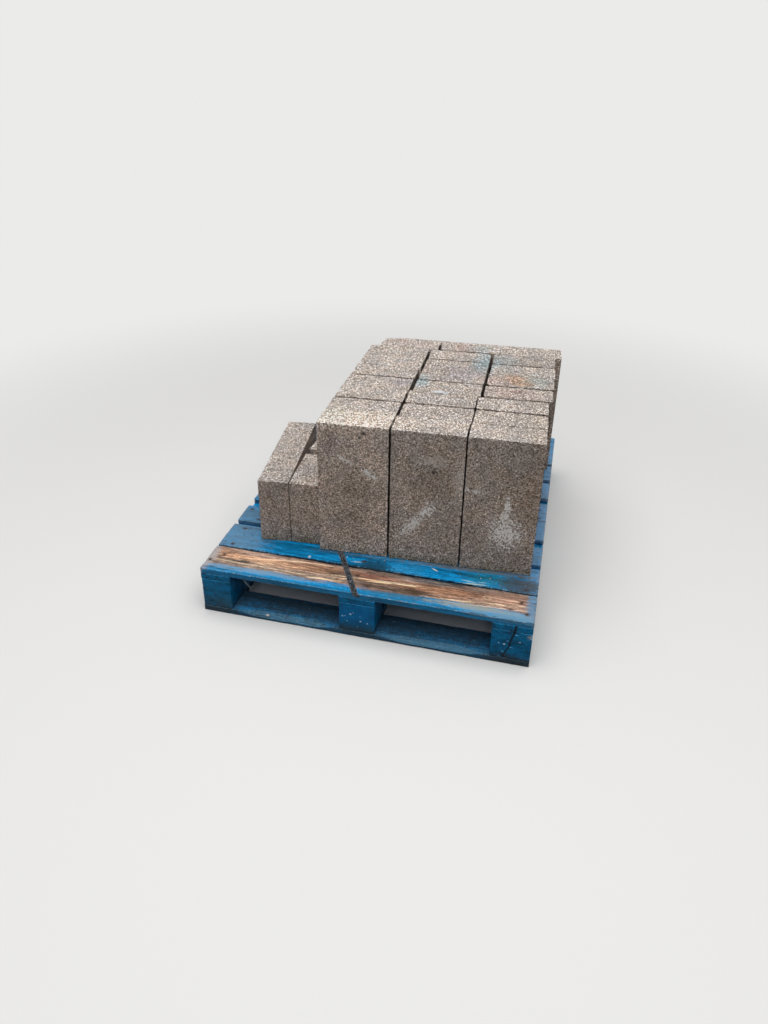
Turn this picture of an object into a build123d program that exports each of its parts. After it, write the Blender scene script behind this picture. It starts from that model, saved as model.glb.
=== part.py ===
from build123d import *
import math
import os

# A four-way block pallet with a load of dense concrete blocks. Sizes are millimetres.
# X runs along the pallet's narrow front, Y from front to back and Z up.
# The origin is the middle of the pallet's footprint, on the ground.

# Pallet: overall width, and the layers from the ground up
pallet_width = 1000
base_thickness = 20
spacer_height = 100
stringer_thickness = 20
deck_thickness = 20

# Deck boards from the front edge to the back edge: name, width, the gap behind it, and
# how much the board falls short of the pallet's left edge
deck_boards = [
    ("front_lead_board", 125, 4, 0),
    ("deck_board_2", 130, 22, 0),
    ("deck_board_3", 98, 43, 0),
    ("deck_board_4", 119, 2.5, 0),
    ("deck_board_5", 47, 2.5, 2),
    ("deck_board_6", 61, 42, 0),
    ("deck_board_7", 112, 27, 3),
    ("deck_board_8", 108, 19, 8),
    ("deck_board_9", 138, 2, 12),
    ("back_lead_board", 98, 0, 14),
]
board_arris = 2
split_board = "deck_board_3"
split_length = 190
split_width = 2
split_place = 42

# Three lines of spacer blocks run from front to back under a stringer board each
line_widths = {"left": 95, "middle": 110, "right": 115}
middle_line_offset = -8
spacer_depth = 100
spacer_arris = 3

# Base boards, with bevels on their outer top edges that stop short of the spacers
base_board_width = 100
base_joint = 1
bevel_width = 18
bevel_height = 12
bevel_run_out = 70
bevel_margin = 6

# Damage on the front right spacer: a knocked out notch, which is deepest at its point, and a
# drying crack. The crack's points are shares of the spacer's width and height.
notch_depth = 15
notch_height = 24
notch_point = 7
notch_drop = 0.5
notch_length = 32
notch_overrun = 1
crack_width = 4.5
crack_depth = 12
crack_path = [(0.57, 1.0), (0.55, 0.88), (0.48, 0.59), (0.455, 0.42), (0.37, 0.19), (0.31, 0.0)]

# Dense concrete block
block_length = 440
block_width = 215
block_thickness = 98
block_arris = 2

# The main stack stands on end: rows from the front to the back, three blocks to a row.
# Each row states its sideways shift and the joints between its three blocks.
stack_inset_left = 321
stack_inset_front = 188
stack_turn = 2.6
row_joint = 1.8
stack_rows = [
    (-2, 5, 4),
    (0, 7, 2),
    (1.5, 5.5, 2),
    (4.5, 11, 7),
    (7, 11, 7),
    (11, 8, 9),
    (13, 8, 7),
    (44, 5, 1),
]

# Blocks laid on a long edge at the left of the stack. Places are the front left
# corner, measured from the stack's front left corner: right is plus, back is plus.
outer_place = (-198.8, 3)
outer_turn = 7.5
inner_place = (-101.1, 15)
inner_turn = 4.2
inner_length = 205
rear_place = (-116, 252)
rear_turn = -3
rear_length = 118
rear_slant = 26

# Loose end of flat strapping, from the foot of the stack over the front edge
strap_width = 18
strap_thickness = 1.2
strap_turn = -62.4
strap_start = 66
strap_drop = 11
strap_tuck = 0.2

# Levels and edges worked out from the sizes above
pallet_depth = sum(width + gap for name, width, gap, short in deck_boards)
front_edge = -pallet_depth / 2
left_edge = -pallet_width / 2
spacer_level = base_thickness
stringer_level = spacer_level + spacer_height
deck_level = stringer_level + stringer_thickness
load_level = deck_level + deck_thickness
line_centres = {
    "left": left_edge + line_widths["left"] / 2,
    "middle": middle_line_offset,
    "right": -left_edge - line_widths["right"] / 2,
}
row_centres = {
    "front": front_edge + spacer_depth / 2,
    "middle": 0,
    "back": -front_edge - spacer_depth / 2,
}


def solid_box(width, depth, height, corner=(0, 0, 0)):
    """A box whose front left bottom corner is at the given point."""
    return Pos(*corner) * Box(width, depth, height, align=(Align.MIN, Align.MIN, Align.MIN))


def ease(shape, axis, size):
    """Chamfer the edges that run along one axis."""
    return chamfer(shape.edges().filter_by(axis), size)


def deck_board(name, width, front, short):
    """One top board, from its left end to the pallet's right edge, with eased long edges."""
    left = left_edge + short
    board = solid_box(pallet_width - short, width, deck_thickness, (left, front, deck_level))
    board = ease(board, Axis.X, board_arris)
    if name == split_board:
        slit = solid_box(split_length, split_width, deck_thickness, (left, front + split_place, deck_level))
        board -= slit
    return board


def stopped_bevel(length):
    """Cutter for a bevel along X that runs out to nothing at both ends."""
    def section(x, share):
        corners = [(0, 0), (bevel_width * share, 0), (0, -bevel_height * share)]
        return Plane.YZ.offset(x) * make_face(Polyline(*corners, close=True))

    full = length / 2 - bevel_run_out
    middle = extrude(section(-full, 1), amount=2 * full)
    end = loft([section(full, 1).face(), Vertex(length / 2, 0, 0)])
    return middle + end + mirror(end, about=Plane.YZ)


def spaces(names, centres, sizes):
    """Middle and length of each space between spacers that stand in a line."""
    for first, second in zip(names, names[1:]):
        low = centres[first] + sizes[first] / 2
        high = centres[second] - sizes[second] / 2
        yield (low + high) / 2, high - low


def base_cross_board(side):
    """Base board along the front or the back, beveled between the spacers."""
    board = solid_box(pallet_width, base_board_width, base_thickness, (left_edge, front_edge, 0))
    for middle, length in spaces(list(line_centres), line_centres, line_widths):
        cutter = stopped_bevel(length - 2 * bevel_margin)
        board -= Pos(middle, front_edge, base_thickness) * cutter
    if side == "back":
        board = mirror(board, about=Plane.XZ)
    return board


def base_long_board(line):
    """Base board between the two cross boards, beveled on a side that faces out."""
    width = line_widths[line]
    length = pallet_depth - 2 * base_board_width - 2 * base_joint
    board = solid_box(width, length, base_thickness,
                      (line_centres[line] - width / 2, -length / 2, 0))
    if line == "middle":
        return board
    outer = left_edge if line == "left" else -left_edge
    turn = -90 if line == "left" else 90
    depths = dict.fromkeys(row_centres, spacer_depth)
    for middle, space in spaces(list(row_centres), row_centres, depths):
        cutter = stopped_bevel(space - 2 * bevel_margin - 2 * base_joint)
        board -= Pos(outer, middle, base_thickness) * Rot(0, 0, turn) * cutter
    return board


def spacer(row, line):
    """One timber spacer block between the base board and the stringer board."""
    width = line_widths[line]
    left = line_centres[line] - width / 2
    front = row_centres[row] - spacer_depth / 2
    block = solid_box(width, spacer_depth, spacer_height, (left, front, spacer_level))
    block = ease(block, Axis.Z, spacer_arris)
    if (row, line) == ("front", "right"):
        block -= edge_notch(left + width, front)
        block -= drying_crack(left, front, width)
    return block


def edge_notch(right, front):
    """Wedge knocked out of the spacer's outer front corner, near its top."""
    top = stringer_level - notch_drop
    outline = Polyline((right + notch_overrun, top), (right - notch_depth, top - notch_point),
                       (right + notch_overrun, top - notch_height), close=True)
    return extrude(Plane.XZ.offset(-front) * make_face(outline), amount=-notch_length)


def drying_crack(left, front, width):
    """Narrow crack down the spacer's front face."""
    points = [(left + across * width, spacer_level + up * spacer_height) for across, up in crack_path]
    path = Plane.XZ.offset(-front) * Polyline(*points)
    slit = trace(path, line_width=crack_width)
    return extrude(slit, amount=crack_depth, both=True)


def stringer_board(line):
    """Board from front to back that carries the deck boards."""
    width = line_widths[line]
    return solid_box(width, pallet_depth, stringer_thickness,
                     (line_centres[line] - width / 2, front_edge, stringer_level))


def concrete_block(width, depth, height):
    """Dense concrete block with worn edges, its front left bottom corner at the origin."""
    block = solid_box(width, depth, height)
    return chamfer(block.edges(), block_arris)


def stack_place():
    """Frame of the main stack, at its front left bottom corner."""
    corner = (left_edge + stack_inset_left, front_edge + stack_inset_front, load_level)
    return Pos(*corner) * Rot(0, 0, stack_turn)


def standing_blocks():
    """Name and solid of each block of the main stack."""
    block = concrete_block(block_width, block_thickness, block_length)
    for row, (shift, *joints) in enumerate(stack_rows):
        left = shift
        for column in range(len(joints) + 1):
            place = Pos(left, row * (block_thickness + row_joint), 0)
            yield f"block_row{row + 1}_col{column + 1}", stack_place() * place * block
            if column < len(joints):
                left += block_width + joints[column]


def laid_place(place, turn):
    """Frame of a laid block, offset from the stack's corner and turned."""
    x = left_edge + stack_inset_left + place[0]
    y = front_edge + stack_inset_front + place[1]
    return Pos(x, y, load_level) * Rot(0, 0, turn)


def broken_block():
    """End of a block with a slanting broken face at its back."""
    outline = Polyline((0, 0), (block_thickness, 0), (block_thickness, rear_length - rear_slant),
                       (0, rear_length), close=True)
    piece = extrude(make_face(outline), amount=block_width)
    return chamfer(piece.edges(), block_arris)


def loose_strap():
    """Flat strap on the deck, folded down over the front edge along that edge."""
    slope = 1 / math.tan(math.radians(strap_turn))
    half = strap_width / 2 / abs(math.sin(math.radians(strap_turn)))
    start_x = left_edge + stack_inset_left + strap_start
    start_y = front_edge + stack_inset_front
    start_y += strap_start * math.tan(math.radians(stack_turn)) + strap_tuck

    def across(y):
        middle = start_x + (y - start_y) * slope
        return middle - half, middle + half

    face = front_edge - strap_thickness
    back_left, back_right = across(start_y)
    front_left, front_right = across(face)
    top = Polyline((back_left, start_y), (back_right, start_y), (front_right, face),
                   (front_left, face), close=True)
    flat = extrude(Pos(0, 0, load_level) * make_face(top), amount=strap_thickness)
    level = load_level + strap_thickness
    foot = load_level - strap_drop
    lean = (level - foot) * -slope
    drop = Polyline((front_left, level), (front_right, level), (front_right + lean, foot),
                    (front_left + lean, foot), close=True)
    tail = extrude(Plane.XZ.offset(-face) * make_face(drop), amount=-strap_thickness)
    return flat + tail


def pallet_parts():
    """Name and solid of each board and spacer of the pallet."""
    front = front_edge
    for name, width, gap, short in deck_boards:
        yield name, deck_board(name, width, front, short)
        front += width + gap
    for line in line_widths:
        yield f"stringer_board_{line}", stringer_board(line)
        yield f"base_board_{line}", base_long_board(line)
        for row in row_centres:
            yield f"spacer_{row}_{line}", spacer(row, line)
    for side in ("front", "back"):
        yield f"base_board_{side}", base_cross_board(side)


def load_parts():
    """Name and solid of each block on the pallet, and of the strap."""
    yield from standing_blocks()
    yield "laid_block_outer", laid_place(outer_place, outer_turn) * concrete_block(
        block_thickness, block_length, block_width)
    yield "laid_half_block", laid_place(inner_place, inner_turn) * concrete_block(
        block_thickness, inner_length, block_width)
    yield "laid_broken_block", laid_place(rear_place, rear_turn) * broken_block()
    yield "loose_strap", loose_strap()


os.makedirs("parts", exist_ok=True)
for node, shape in [*pallet_parts(), *load_parts()]:
    export_step(shape, f"parts/{node}.step")
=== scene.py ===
import math
import random

import bmesh
import bpy
from mathutils import Matrix, Vector


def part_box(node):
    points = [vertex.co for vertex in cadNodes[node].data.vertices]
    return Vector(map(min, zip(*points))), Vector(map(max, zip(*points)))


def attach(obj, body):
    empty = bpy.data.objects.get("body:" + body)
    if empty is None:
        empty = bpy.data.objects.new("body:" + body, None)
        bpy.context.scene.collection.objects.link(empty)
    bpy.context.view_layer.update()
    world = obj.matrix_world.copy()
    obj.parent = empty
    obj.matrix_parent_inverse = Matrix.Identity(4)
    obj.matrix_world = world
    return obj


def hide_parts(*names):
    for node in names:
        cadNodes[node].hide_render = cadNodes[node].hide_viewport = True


# A worn blue timber pallet with a load of dense concrete blocks.
# Lengths are metres, or millimetres where they are multiplied by mm. Places are in the frame.
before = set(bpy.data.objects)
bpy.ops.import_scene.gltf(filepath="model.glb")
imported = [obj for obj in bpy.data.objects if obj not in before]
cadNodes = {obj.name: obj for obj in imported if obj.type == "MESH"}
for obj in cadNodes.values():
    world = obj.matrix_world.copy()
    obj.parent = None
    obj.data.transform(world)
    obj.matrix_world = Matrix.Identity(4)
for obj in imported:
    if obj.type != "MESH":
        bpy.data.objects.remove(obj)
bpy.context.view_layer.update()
mm = 0.001
quarterTurn = math.pi / 2
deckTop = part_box("front_lead_board")[1].z


# Node helpers, for shader and geometry trees alike. They add to the tree that was opened last.

current = {}


def openTree(tree):
    current["tree"] = tree
    return tree


def plug(socket, value):
    if isinstance(value, bpy.types.NodeSocket):
        current["tree"].links.new(value, socket)
    else:
        socket.default_value = value


def addNode(kind, inputs=None, **settings):
    node = current["tree"].nodes.new(kind)
    for name, value in settings.items():
        setattr(node, name, value)
    for key, value in (inputs or {}).items():
        plug(node.inputs[key], value)
    return node


def mathHelper(operation):
    def add(first, second=0, third=0):
        return addNode("ShaderNodeMath", {0: first, 1: second, 2: third}, operation=operation).outputs[0]
    return add


times, plus, minus, over = map(mathHelper, ("MULTIPLY", "ADD", "SUBTRACT", "DIVIDE"))
larger, smaller, absolute = map(mathHelper, ("MAXIMUM", "MINIMUM", "ABSOLUTE"))
power, above, below = map(mathHelper, ("POWER", "GREATER_THAN", "LESS_THAN"))
timesPlus = mathHelper("MULTIPLY_ADD")


def vectorCalc(operation, first, second=(0, 0, 0)):
    node = addNode("ShaderNodeVectorMath", {0: first, 1: second}, operation=operation)
    return node.outputs["Value" if operation in ("LENGTH", "DOT_PRODUCT") else "Vector"]


def stretch(vector, factor):
    node = addNode("ShaderNodeVectorMath", {0: vector, "Scale": factor}, operation="SCALE")
    return node.outputs["Vector"]


def ramp(value, low, high, start=0, end=1):
    inputs = {0: value, 1: low, 2: high, 3: start, 4: end}
    return addNode("ShaderNodeMapRange", inputs, interpolation_type="SMOOTHSTEP").outputs[0]


def noise(vector, scale, detail=2, roughness=0.5):
    inputs = {"Vector": vector, "Scale": scale, "Detail": detail, "Roughness": roughness}
    return addNode("ShaderNodeTexNoise", inputs).outputs[0]


def cells(vector, scale):
    return addNode("ShaderNodeTexVoronoi", {"Vector": vector, "Scale": scale})


def parts(vector):
    return addNode("ShaderNodeSeparateXYZ", {0: vector}).outputs


def joined(x, y, z):
    return addNode("ShaderNodeCombineXYZ", {0: x, 1: y, 2: z}).outputs[0]


def attribute(name, output="Fac"):
    return addNode("ShaderNodeAttribute", attribute_name=name).outputs[output]


def objectPlace():
    return addNode("ShaderNodeTexCoord").outputs["Object"]


def surfaceNormal():
    return addNode("ShaderNodeNewGeometry").outputs["Normal"]


def rgb(colour):
    return (*colour, 1.0)


def mixed(factor, first, second, blend="MIX"):
    first, second = [rgb(value) if isinstance(value, tuple) else value for value in (first, second)]
    inputs = {0: factor, 6: first, 7: second}
    return addNode("ShaderNodeMix", inputs, data_type="RGBA", blend_type=blend).outputs[2]


def shaded(colour, factor):
    # lighter or darker by one factor, or by one each for red, green and blue
    if isinstance(factor, bpy.types.NodeSocket) and factor.type == "VALUE":
        factor = joined(factor, factor, factor)
    return mixed(1, colour, factor, "MULTIPLY")


def randomNumber(low, high, seed):
    return addNode("FunctionNodeRandomValue", {2: low, 3: high, "Seed": seed}).outputs[1]


def randomVector(low, high, seed):
    inputs = {0: low, 1: high, "Seed": seed}
    return addNode("FunctionNodeRandomValue", inputs, data_type="FLOAT_VECTOR").outputs[0]


def newTree(name, kind, inputs, outputs):
    # each socket: its name and kind, then its default value if it needs one
    tree = openTree(bpy.data.node_groups.new(name, kind))
    for way, sockets in (("INPUT", inputs), ("OUTPUT", outputs)):
        for title, socketKind, *default in sockets:
            socket = tree.interface.new_socket(title, in_out=way, socket_type="NodeSocket" + socketKind)
            if default:
                socket.default_value = default[0]
    return tree, addNode("NodeGroupInput").outputs, addNode("NodeGroupOutput").inputs


def useGroup(group, **inputs):
    kind = "GeometryNodeGroup" if group.bl_idname == "GeometryNodeTree" else "ShaderNodeGroup"
    return addNode(kind, inputs, node_tree=group).outputs


# Shader groups shared by the materials

def makeSpotGroup():
    # one soft ragged patch at a place, as a mask
    tree, given, result = newTree("Spot", "ShaderNodeTree", [
        ("Vector", "Vector"), ("Centre", "Vector"), ("Reach", "Vector", (1, 1, 1)),
        ("Turn", "Vector"), ("Ragged", "Float", 0.5), ("Soft", "Float", 0.5)], [("Mask", "Float")])
    offset = vectorCalc("SUBTRACT", given["Vector"], given["Centre"])
    turned = addNode("ShaderNodeVectorRotate", {"Vector": offset, "Rotation": given["Turn"]},
                     rotation_type="EULER_XYZ", invert=True).outputs[0]
    reach = vectorCalc("LENGTH", vectorCalc("DIVIDE", turned, given["Reach"]))
    reach = plus(reach, given["Ragged"])
    plug(result["Mask"], ramp(reach, minus(1, given["Soft"]), plus(1, given["Soft"]), 1, 0))
    return tree


def makeGrainGroup():
    # softwood figure along the grain: fine lines, wide bands and still finer fibres
    tree, given, result = newTree("WoodGrain", "ShaderNodeTree", [
        ("Vector", "Vector"), ("Band Scale", "Float", 45.0), ("Line Scale", "Float", 260.0)],
        [("Bands", "Float"), ("Lines", "Float"), ("Fibres", "Float")])
    wobble = times(noise(given["Vector"], 14), 0.03)
    shifted = vectorCalc("ADD", given["Vector"], joined(0, wobble, 0))
    plug(result["Bands"], noise(shifted, given["Band Scale"], 3, 0.6))
    plug(result["Lines"], noise(shifted, given["Line Scale"], 3, 0.65))
    plug(result["Fibres"], noise(shifted, times(given["Line Scale"], 3.5), 2, 0.6))
    return tree


def makeDirtGroup():
    # mud and dust that splashed up from the ground, and grime in blotches
    tree, given, result = newTree("Dirt", "ShaderNodeTree", [
        ("Vector", "Vector"), ("Splash Height", "Float", 0.03), ("Amount", "Float", 0.5)],
        [("Splash", "Float"), ("Grime", "Float")])
    level = times(given["Splash Height"], times(noise(given["Vector"], 17, 5, 0.65), 2))
    splash = ramp(over(parts(given["Vector"])[2], level), 0.35, 1.5, 1, 0)
    grime = ramp(noise(given["Vector"], 42, 5, 0.7), 0.52, 0.72)
    plug(result["Splash"], times(splash, given["Amount"]))
    plug(result["Grime"], times(grime, given["Amount"]))
    return tree


spotGroup = makeSpotGroup()
grainGroup = makeGrainGroup()
dirtGroup = makeDirtGroup()


def newMaterial(name, **constants):
    material = bpy.data.materials.new(name)
    material.use_nodes = True
    surface = openTree(material.node_tree).nodes["Principled BSDF"].inputs
    for title, value in constants.items():
        surface[title.replace("_", " ")].default_value = value
    return material, surface


def bumped(surface, height, strength, distance):
    inputs = {"Height": height, "Strength": strength, "Distance": distance}
    plug(surface["Normal"], addNode("ShaderNodeBump", inputs).outputs[0])


def faceMarks(normalAxis, level, rows):
    # marks on one face: place and reach along its two axes, reach into it, turn, colour, strength, softness
    normal = "xyz".index(normalAxis)
    found = []
    for across, up, wide, high, deep, turn, *finish in rows:
        centre, reach, turns = [across, up], [wide, high], [0, 0, 0]
        centre.insert(normal, level)
        reach.insert(normal, deep)
        turns[normal] = turn
        found.append((centre, reach, turns, *finish))
    return found


def paintSpots(colour, vector, ragged, spots):
    for centre, reach, turn, spotColour, strength, soft in spots:
        mask = useGroup(spotGroup, Vector=vector, Centre=Vector(centre) * mm, Reach=Vector(reach) * mm,
                        Turn=[math.radians(angle) for angle in turn], Ragged=ragged, Soft=soft)["Mask"]
        colour = mixed(times(mask, strength), colour, spotColour)
    return colour


# Concrete. Stain places are in the stack's own axes: x along the front, y back and z up from
# its front left bottom corner, in millimetres.

concreteLook = {
    # painted light: the tops take a lighter colour than the sides
    "top": (0.70, 0.598, 0.527),
    "side": (0.475, 0.380, 0.322),
    # pale arrises: rubbed concrete, with a painted highlight where they face up
    "arris": (0.78, 0.70, 0.62),
    "paleGrain": (0.84, 0.78, 0.72),
    # painted shade for pores, pits and open joints
    "recessShade": (0.040, 0.028, 0.021),
    "moss": (0.17, 0.145, 0.075),
    "mossHeight": 34,
    "grainSize": 2.4,
    "stoneSize": 4.4,
    "sandSize": 1.7,
    "poreSize": 4.0,
    "mottleSize": 60,
    "jointsMiddle": 335,
    "jointsReach": 170,
}
teal, lavender, rust, pink = (0.44, 0.56, 0.58), (0.42, 0.37, 0.40), (0.66, 0.37, 0.20), (0.72, 0.48, 0.40)
lime, umber, plum, blackDot = (1, 0.96, 0.92), (0.20, 0.145, 0.085), (0.27, 0.18, 0.20), (0.02, 0.016, 0.013)
topStains = faceMarks("z", 440, [
    (108, 50, 150, 56, 14, 0, (0.98, 0.82, 0.68), 0.9, 0.3),
    (30, 55, 45, 60, 14, 0, (0.86, 0.80, 0.66), 0.6, 0.5),
    (248, 380, 26, 46, 12, 0, teal, 0.7, 0.5),
    (432, 595, 34, 90, 12, 0, teal, 0.7, 0.6),
    (478, 585, 40, 34, 12, 0, teal, 0.4, 0.7),
    (500, 645, 46, 42, 12, 0, teal, 0.35, 0.7),
    (418, 748, 28, 34, 12, 0, (0.52, 0.60, 0.58), 0.5, 0.5),
    (618, 452, 46, 46, 12, 0, (0.40, 0.46, 0.43), 0.55, 0.6),
    (188, 357, 26, 30, 12, 0, lavender, 0.5, 0.6),
    (372, 480, 62, 60, 12, 0, lavender, 0.5, 0.6),
    (480, 440, 50, 40, 12, 0, pink, 0.4, 0.7),
    (545, 470, 32, 32, 12, 0, rust, 0.65, 0.6),
    (572, 432, 36, 18, 12, 0, rust, 0.6, 0.6),
    (556, 360, 17, 16, 10, 0, (0.16, 0.07, 0.05), 0.7, 0.5),
    (540, 345, 90, 42, 12, 0, pink, 0.3, 0.6),
    (338, 742, 26, 45, 12, 0, pink, 0.5, 0.6),
    (150, 745, 90, 46, 12, 0, (0.78, 0.62, 0.54), 0.5, 0.7),
    (330, 210, 90, 30, 12, 0, (0.40, 0.36, 0.33), 0.3, 0.8),
    (600, 150, 60, 50, 12, 0, (0.55, 0.45, 0.34), 0.3, 0.8),
])
whiteMarksAndShadow = faceMarks("z", 440, [
    # painted shadow beside the white lump
    (324, 289, 24, 6, 10, 4, (0.07, 0.055, 0.045), 0.9, 0.5),
    (312, 304, 20, 11, 10, 6, (0.93, 0.94, 0.96), 1, 0.25),
    (338, 298, 11, 9, 10, -12, (0.90, 0.91, 0.94), 1, 0.25),
])
limeBlooms = faceMarks("y", 0, [
    (565, 226, 6, 24, 10, 0, lime, 1, 0.15),
    (561, 190, 11, 18, 10, 12, lime, 1, 0.15),
    (563, 138, 29, 30, 10, 0, lime, 1, 0.2),
    (331, 184, 27, 10, 10, -50, lime, 1, 0.15),
    (288, 130, 35, 11, 10, -50, lime, 0.8, 0.2),
    (84, 326, 17, 5, 10, 24, lime, 0.9, 0.3),
    (158, 287, 19, 6, 10, 30, lime, 1, 0.2),
    (466, 268, 15, 5, 10, 0, lime, 0.8, 0.3),
    (428, 300, 14, 44, 10, 0, lime, 0.3, 0.4),
    (345, 350, 32, 12, 10, 0, lime, 0.3, 0.4),
])
frontStains = [
    *faceMarks("y", 0, [
        (48, 371, 22, 28, 10, 0, plum, 0.45, 0.7),
        (345, 300, 58, 62, 10, 0, umber, 0.35, 0.7),
        (110, 215, 80, 52, 10, 0, umber, 0.4, 0.7),
        (90, 110, 60, 60, 10, 0, (0.20, 0.155, 0.11), 0.3, 0.8),
        (628, 255, 34, 82, 10, 0, (0.31, 0.20, 0.125), 0.4, 0.7),
        # small near-black dots on the front faces
        (347, 316, 6, 6, 8, 0, blackDot, 0.9, 0.4),
        (142, 418, 5, 5, 8, 0, blackDot, 0.9, 0.4),
        (129, 403, 4, 4, 8, 0, blackDot, 0.9, 0.4),
    ]),
    *faceMarks("z", 20, [
        (-60, -10, 70, 40, 26, 0, (0.13, 0.12, 0.06), 0.4, 0.8),
    ]),
]


def turnOf(mesh):
    side = max((face for face in mesh.polygons if abs(face.normal.z) < 0.01), key=lambda face: face.area)
    angle = math.atan2(side.normal.y, side.normal.x)
    return (angle + quarterTurn / 2) % quarterTurn - quarterTurn / 2


def ownBox(node):
    # a turned block's turn about Z, its corner in the frame, its size and how far its back slants
    mesh = cadNodes[node].data
    turn = turnOf(mesh)
    back = Matrix.Rotation(-turn, 3, "Z")
    points = [back @ vertex.co for vertex in mesh.vertices]
    low = Vector([min(point[axis] for point in points) for axis in range(3)])
    high = Vector([max(point[axis] for point in points) for axis in range(3)])
    middle = (low.x + high.x) / 2
    slant = high.y - max(point.y for point in points if point.x > middle)
    return turn, Matrix.Rotation(turn, 3, "Z") @ low, high - low, slant


stackTurn, stackCorner, *_ = ownBox("block_row1_col1")


def perSize(title):
    # a texture's scale, from the size of its grains
    return 1 / (concreteLook[title] * mm)


def makeConcrete():
    look = concreteLook
    material, surface = newMaterial("Block concrete", Roughness=0.93, Specular_IOR_Level=0.3)
    place = objectPlace()
    inputs = {"Vector": place, "Location": stackCorner, "Rotation": (0, 0, stackTurn)}
    inStack = addNode("ShaderNodeMapping", inputs, vector_type="TEXTURE").outputs[0]
    normal = surfaceNormal()
    brink = noise(place, 150, 3, 0.7)
    arris = attribute("arris")
    wander = times(minus(brink, 0.5), timesPlus(arris, 2.6, 0.6))
    topShare = ramp(plus(wander, parts(normal)[2]), 0.5, 0.8)
    # painted light and shade: a lighter colour on the tops, a darker one on the sides
    colour = mixed(topShare, look["side"], look["top"])
    # pale arrises: rubbed concrete, with a painted highlight where they face up
    rubbed = times(arris, ramp(brink, 0.46, 0.58, 0, 0.6))
    colour = mixed(rubbed, colour, mixed(topShare, colour, look["arris"]))
    broad = ramp(noise(place, 7, 4, 0.6), 0.3, 0.7, 0.90, 1.09)
    colour = shaded(colour, plus(attribute("tone"), broad))
    warm = ramp(noise(place, perSize("mottleSize"), 1), 0.3, 0.7)
    colour = mixed(warm, shaded(colour, (0.92, 0.94, 0.96)), shaded(colour, (1.06, 1.03, 0.98)))
    ragged = plus(ramp(noise(place, 45, 4, 0.75), 0.25, 0.75, -0.45, 0.45),
                  ramp(noise(place, 230, 2, 0.7), 0.3, 0.7, -0.45, 0.45))
    colour = paintSpots(colour, inStack, ragged, topStains + frontStains)
    foot = minus(parts(place)[2], deckTop)
    mossy = ramp(timesPlus(ragged, 0.03, foot), 0, look["mossHeight"] * mm, 0.85, 0)
    colour = mixed(times(mossy, warm), colour, look["moss"])
    # aggregate: each grain and each larger stone has its own shade, and some grains are pale
    shade, pick, _ = parts(cells(place, perSize("grainSize")).outputs["Color"])
    stone = parts(cells(place, perSize("stoneSize")).outputs["Color"])[0]
    spread = timesPlus(topShare, -0.25, 0.75)
    stone = timesPlus(minus(stone, 0.5), spread, 1)
    sand = noise(place, perSize("sandSize"), 2, 0.6)
    speckle = times(ramp(shade, 0, 1, 0.36, 1.62), ramp(sand, 0.34, 0.66, 0.36, 1.7))
    speckle = power(times(speckle, stone), timesPlus(topShare, 0.35, 1))
    # dark grains are browner than light ones
    browner = joined(speckle, power(speckle, 1.08), power(speckle, 1.18))
    colour = shaded(colour, browner)
    colour = mixed(ramp(pick, 0.84, 0.9, 0, 0.32), colour, look["paleGrain"])
    # painted shade in the open pores of all sizes
    pores = noise(place, perSize("poreSize"), 3, 0.7)
    needed = timesPlus(topShare, -0.035, 0.595)
    hollow = ramp(pores, needed, plus(needed, 0.04))
    colour = mixed(times(hollow, 0.88), colour, look["recessShade"])
    # painted shade in the pits cut into the faces
    colour = mixed(times(attribute("pit"), 0.8), colour, look["recessShade"])
    # painted shade in the joints that stand open, and on the faces inside them
    across = parts(inStack)[0]
    sideways = absolute(vectorCalc("DOT_PRODUCT", normal, Matrix.Rotation(stackTurn, 3, "Z").col[0]))
    between = below(absolute(minus(across, look["jointsMiddle"] * mm)), look["jointsReach"] * mm)
    within = times(between, ramp(sideways, 0.5, 0.9))
    colour = mixed(times(larger(attribute("joint"), within), 0.92), colour, look["recessShade"])
    # white lumps, with a painted shadow beside one
    colour = paintSpots(colour, inStack, times(ragged, 0.4), whiteMarksAndShadow)
    # lime that broke out of the face in fine spatters, thickest in the middle of each bloom
    spattered = ramp(noise(place, 150, 3, 0.75), 0.3, 0.7, 1.5, -1.5)
    colour = paintSpots(colour, inStack, spattered, limeBlooms)
    plug(surface["Base Color"], colour)
    height = minus(times(speckle, 0.35), hollow)
    height = timesPlus(noise(place, 900, 2), 0.35, height)
    bumped(surface, height, 0.9, 1.6 * mm)
    return material


# Timber. Mark places are in the pallet's axes, in millimetres.

timberLook = {
    "paint": (0.006, 0.288, 0.636),
    "deepPaint": (0.002, 0.130, 0.280),
    "fadedPaint": (0.07, 0.32, 0.56),
    # paint rubbed pale on arrises, also the painted highlight on sloping faces
    "rubbedAndLitPaint": (0.12, 0.37, 0.57),
    "chalk": (0.58, 0.64, 0.68),
    # painted shade: the colour of upright faces is multiplied by this
    "sideShade": 0.56,
    "bare": (0.235, 0.165, 0.12),
    "bareDark": (0.085, 0.06, 0.045),
    "mud": (0.115, 0.095, 0.072),
    "grime": (0.014, 0.026, 0.032),
    "dust": (0.50, 0.56, 0.58),
    "rust": (0.055, 0.028, 0.018),
    "splash": 34,
}
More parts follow.
